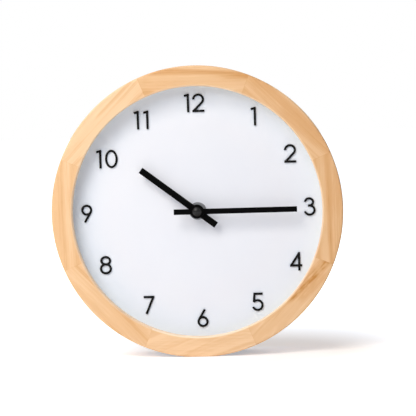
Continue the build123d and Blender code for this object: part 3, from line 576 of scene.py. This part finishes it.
# Fixings: a washer and round nut on the stem, the back panel's screws, and a rubber washer behind the dial.
# The steel ones are zinc-plated, dull grey and softly mirrored.
zinc_plate = mottled(
    "zinc_plated_steel",
    ("7c7e82", "96989b"),
    (3, 3, 3),
    (0.3, 0.3, 0.3),
    0.006,
    {"Roughness": 0.42, "Metallic": 1.0},
)
coat(zinc_plate, "dial_washer", "fixing_nut", "back_panel_screws")

# Moulded rubber: black and dull, with almost no highlight.
rubber = mottled(
    "moulded_rubber",
    ("141414", "1d1d1c"),
    (6, 6, 6),
    (0.3, 0.3, 0.3),
    0.02,
    {"Roughness": 0.8, "Specular IOR Level": 0.3},
)
coat(rubber, "dial_gasket")


# Stepping motor: stamped soft-iron stator and core, a ferrite magnet, and a coil of enamelled wire.
# The iron is bright, with faint lines from rolling along its length.
stamped_iron = mottled(
    "rolled_soft_iron",
    ("7f8183", "9a9c9d"),
    (12, 2, 1.2),
    (6, 0.4, 0.3),
    0.004,
    {"Roughness": 0.35, "Metallic": 1.0},
)
coat(stamped_iron, "stator", "coil_core")

# Pressed ferrite: dark grey and stony, with a dull sheen.
ferrite = mottled(
    "pressed_ferrite",
    ("2a2a2c", "3a3a3c"),
    (2, 2, 2),
    (0.2, 0.2, 0.2),
    0.01,
    {"Roughness": 0.6, "Specular IOR Level": 0.4},
)
coat(ferrite, "rotor_magnet")

# Enamelled copper: glossy red-brown turns round the core's long axis.
# The wire is 0.1 mm thick; its turns are drawn 0.35 mm apart so that they show.
copper_wire = mottled(
    "enamelled_copper_wire",
    ("8c4218", "c8743a"),
    (0.35, 9, 9),
    (0.35, 12, 12),
    0.05,
    {"Roughness": 0.3, "Metallic": 0.9},
)
coat(copper_wire, "coil_winding")


# Drive circuit: a board with a moulded chip, a quartz crystal in its can, and bent contact strips.
# The board is glass-epoxy under green solder resist, which is smooth and glossy.
green_board = mottled(
    "green_solder_resist",
    ("1f5a33", "2d7043"),
    (1.6, 1.6, 1.6),
    (0.35, 0.35, 0.35),
    0.01,
    {"Roughness": 0.3, "Specular IOR Level": 0.5},
)
coat(green_board, "circuit_board")
coat(moulded_black, "control_chip")

# Nickel plate on spring steel: bright and slightly warm, with fine lines from rolling.
nickel = mottled(
    "nickel_plated_strip",
    ("b3aea2", "c9c5ba"),
    (8, 8, 8),
    (3, 0.3, 0.3),
    0.004,
    {"Roughness": 0.25, "Metallic": 1.0},
)
coat(nickel, "quartz_crystal", "positive_contact", "negative_contact", "battery_cap")


# Battery: one AA cell in a plain shrunk sleeve with no words on it, pushed in between the contacts.
# The sleeve is glossy printed plastic, dark with a silver band at the positive end.
band_width, drift_size, drift_detail = 12, 8, 2.0
drift_low, drift_high, drift_dimmest, drift_brightest = 0.3, 0.7, 0.94, 1.06
sleeve_dark, sleeve_silver = "2c3138", "b9bcc0"
sleeve, sleeve_shader = surface("plain_battery_sleeve", {"Roughness": 0.28, "Coat Weight": 0.3})
place = add(sleeve, "TexCoord", {}).outputs["Object"]
end_to_end = add(sleeve, "SeparateXYZ", {"Vector": place}).outputs["X"]
band_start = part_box("battery_cell")[1].x - band_width * MM
band = add(sleeve, "Math", {0: end_to_end, 1: band_start}, operation="GREATER_THAN")
drift = add(
    sleeve, "TexNoise", {"Vector": place, "Scale": 1 / (drift_size * MM), "Detail": drift_detail}
).outputs["Fac"]
print_tone = add(
    sleeve,
    "Mix",
    {"Factor": band.outputs[0], 6: linear(sleeve_dark), 7: linear(sleeve_silver)},
    data_type="RGBA",
).outputs[2]
brightness = add(
    sleeve, "MapRange", {0: drift, 1: drift_low, 2: drift_high, 3: drift_dimmest, 4: drift_brightest}
).outputs[0]
shaded = add(sleeve, "HueSaturation", {"Value": brightness, "Color": print_tone})
sleeve.node_tree.links.new(shaded.outputs["Color"], sleeve_shader.inputs["Base Color"])
coat(sleeve, "battery_cell")


# Hands: punched from thin aluminium, riveted to a hub and sprayed satin black, with a turned dome cap.
# The paint is almost black, with the faintest orange peel.
black_paint = mottled(
    "sprayed_satin_black_paint",
    ("010101", "030303"),
    (8, 8, 8),
    (0.6, 0.6, 0.6),
    0.006,
    {"Roughness": 0.4, "Specular IOR Level": 0.03},
)
coat(black_paint, "hour_hand", "minute_hand")

# The cap's paint lies on smooth turned metal, so its dome catches a small highlight.
cap_paint = mottled(
    "turned_cap_satin_black_paint",
    ("050505", "090909"),
    (3, 3, 3),
    (0.4, 0.4, 0.4),
    0.004,
    {"Roughness": 0.24, "Specular IOR Level": 0.25},
)
coat(cap_paint, "hand_cap")


# Studio: a white floor that runs back to a white world. It lies a hair below the clock's foot.
# Floor and world look white to the camera and in reflections, and light the clock less.
floor_half_width, floor_drop = 12.0, 0.1
floor_mesh = bpy.data.meshes.new("floor")
shape = bmesh.new()
bmesh.ops.create_grid(shape, x_segments=1, y_segments=1, size=floor_half_width)
shape.to_mesh(floor_mesh)
shape.free()
floor = bpy.data.objects.new("floor", floor_mesh)
floor.location.z = -floor_drop * MM
bpy.context.scene.collection.objects.link(floor)

floor_white, floor_shader = surface(
    "white_studio_floor",
    {"Base Color": linear("f6f2ed"), "Roughness": 0.9, "Specular IOR Level": 0.0},
)
floor_mesh.materials.append(floor_white)
world = bpy.data.worlds.new("studio")
world.use_nodes = True
bpy.context.scene.world = world
shown = {}
for owner in (floor_white, world):
    path = add(owner, "LightPath", {}).outputs
    direct = add(owner, "Math", {0: path["Is Camera Ray"], 1: path["Is Glossy Ray"]}, operation="MAXIMUM")
    direct = add(owner, "Math", {0: direct.outputs[0], 1: path["Is Transmission Ray"]}, operation="MAXIMUM")
    shown[owner.name] = direct.outputs[0]

# The floor shines to look white, less so round the clock, where its shadow shows (glow). Near the clock
# that shine is a painted warmer tint, which cancels the cool sky light in the shadow. Light that only the
# clock sees comes up from in front of it (lift). Right under the ring the shine is a painted cooler tint
# and a little stronger, which cancels the warm light off the wood (under). Each is an ellipse on the floor:
# its middle and reach in metres, where it begins and ends to fade in parts of that reach, and its value in
# and out.
floor_fields = {
    "glow": ((0.042, 0.005, 0.0), (0.13, 0.16, 1.0), 0.4, 1.5, 0.28, 1.0),
    "lift": ((-0.02, -0.07, 0.0), (0.2, 0.1, 1.0), 0.3, 1.3, 0.14, 0.0),
    "under": ((0.01, -0.003, 0.0), (0.07, 0.03, 1.0), 0.6, 1.4, 1.0, 0.0),
}
glow_near, glow_far, glow_under = 0.28, 0.55, 0.1
painted_warm_near_tint, far_white, painted_cool_under_tint, unseen_white = "fff2e2", "ffffff", "dbeeff", "d0e0ff"
place = add(floor_white, "TexCoord", {}).outputs["Object"]
field = {}
for name, (middle, reach, fade_start, fade_stop, inside, outside) in floor_fields.items():
    spot = add(
        floor_white,
        "Mapping",
        {"Vector": place, "Location": middle, "Scale": reach},
        vector_type="TEXTURE",
    ).outputs[0]
    away = add(floor_white, "VectorMath", {0: spot}, operation="LENGTH").outputs["Value"]
    field[name] = add(
        floor_white, "MapRange", {0: away, 1: fade_start, 2: fade_stop, 3: inside, 4: outside}
    ).outputs[0]
far = add(floor_white, "MapRange", {0: field["glow"], 1: glow_near, 2: glow_far}).outputs[0]
seen_tone = add(
    floor_white, "Mix", {"Factor": far, 6: linear(painted_warm_near_tint), 7: linear(far_white)}, data_type="RGBA"
).outputs[2]
seen_tone = add(
    floor_white, "Mix", {"Factor": field["under"], 6: seen_tone, 7: linear(painted_cool_under_tint)}, data_type="RGBA"
).outputs[2]
seen_glow = add(
    floor_white, "Math", {0: field["under"], 1: glow_under, 2: field["glow"]}, operation="MULTIPLY_ADD"
).outputs[0]
seen = shown[floor_white.name]
floor_tone = add(
    floor_white, "Mix", {"Factor": seen, 6: linear(unseen_white), 7: seen_tone}, data_type="RGBA"
)
floor_glow = add(floor_white, "MapRange", {0: seen, 3: field["lift"], 4: seen_glow})
floor_white.node_tree.links.new(floor_tone.outputs[2], floor_shader.inputs["Emission Color"])
floor_white.node_tree.links.new(floor_glow.outputs[0], floor_shader.inputs["Emission Strength"])

# The world lights the clock with a weak cool light, and is seen as plain white.
sky_unseen, sky_seen = ("c8dcff", 0.32), ("ffffff", 1.0)
sky = world.node_tree.nodes["Background"]
seen = shown[world.name]
sky_tone = add(
    world, "Mix", {"Factor": seen, 6: linear(sky_unseen[0]), 7: linear(sky_seen[0])}, data_type="RGBA"
)
sky_level = add(world, "MapRange", {0: seen, 3: sky_unseen[1], 4: sky_seen[1]})
world.node_tree.links.new(sky_tone.outputs[2], sky.inputs["Color"])
world.node_tree.links.new(sky_level.outputs[0], sky.inputs["Strength"])

# Soft boxes: one near on the left, turned a little past the clock, one high and far in front, a small
# one above on the left, and one behind on the right for the back. Each has its direction from the
# clock, distance, aim beside the clock and size, all in metres, then its power in watts and its tint.
clock_middle = Vector((0.0, 0.0, ring_middle[2]))
for name, towards, distance, aim, size, power, tint in (
    ("key_softbox", (-0.72, -1.0, 0.74), 0.9, (-0.45, -0.05, -0.4), (0.6, 0.55), 5.3, "fffaf3"),
    ("top_softbox", (-0.3, -1.0, 1.25), 2.5, (0.0, 0.0, 0.0), (1.0, 0.8), 12.3, "fffaf3"),
    ("overhead_softbox", (-0.5, -0.03, 1.0), 1.0, (0.0, 0.0, 0.0), (0.4, 0.25), 1.7, "ffffff"),
    ("back_softbox", (0.6, 1.0, 0.9), 1.5, (0.0, 0.0, 0.0), (0.9, 0.9), 5.5, "ffffff"),
):
    lamp = bpy.data.lights.new(name, "AREA")
    lamp.shape = "RECTANGLE"
    lamp.size, lamp.size_y = size
    lamp.energy = power
    lamp.color = linear(tint)[:3]
    holder = bpy.data.objects.new(name, lamp)
    stand = Vector(towards).normalized() * distance
    holder.location = clock_middle + stand
    holder.rotation_euler = (stand - Vector(aim)).to_track_quat("Z", "Y").to_euler()
    bpy.context.scene.collection.objects.link(holder)


# Camera: a long lens a little above the clock and to its right, turned so that the clock leans
# anticlockwise in the picture as it does in the photograph, whose frame is 416 pixels square.
picture_size = 416
azimuth, elevation, roll = math.radians(3.593), math.radians(2.991), math.radians(1.74)
camera_distance = 1.3086
pixels_per_slope = 1885.5
axis_at = (198.47, 210.367)
lens = bpy.data.cameras.new("camera")
lens.sensor_width = 36.0
lens.lens = lens.sensor_width * pixels_per_slope / picture_size
lens.shift_x = 0.5 - axis_at[0] / picture_size
lens.shift_y = axis_at[1] / picture_size - 0.5
camera = bpy.data.objects.new("camera", lens)
back = Vector(
    (
        math.sin(azimuth) * math.cos(elevation),
        -math.cos(azimuth) * math.cos(elevation),
        math.sin(elevation),
    )
)
camera.location = clock_middle + back * camera_distance
camera.rotation_mode = "QUATERNION"
camera.rotation_quaternion = (-back).to_track_quat("-Z", "Y") @ Quaternion((0, 0, 1), -roll)
bpy.context.scene.collection.objects.link(camera)
bpy.context.scene.camera = camera
bpy.context.scene.view_settings.view_transform = "Standard"
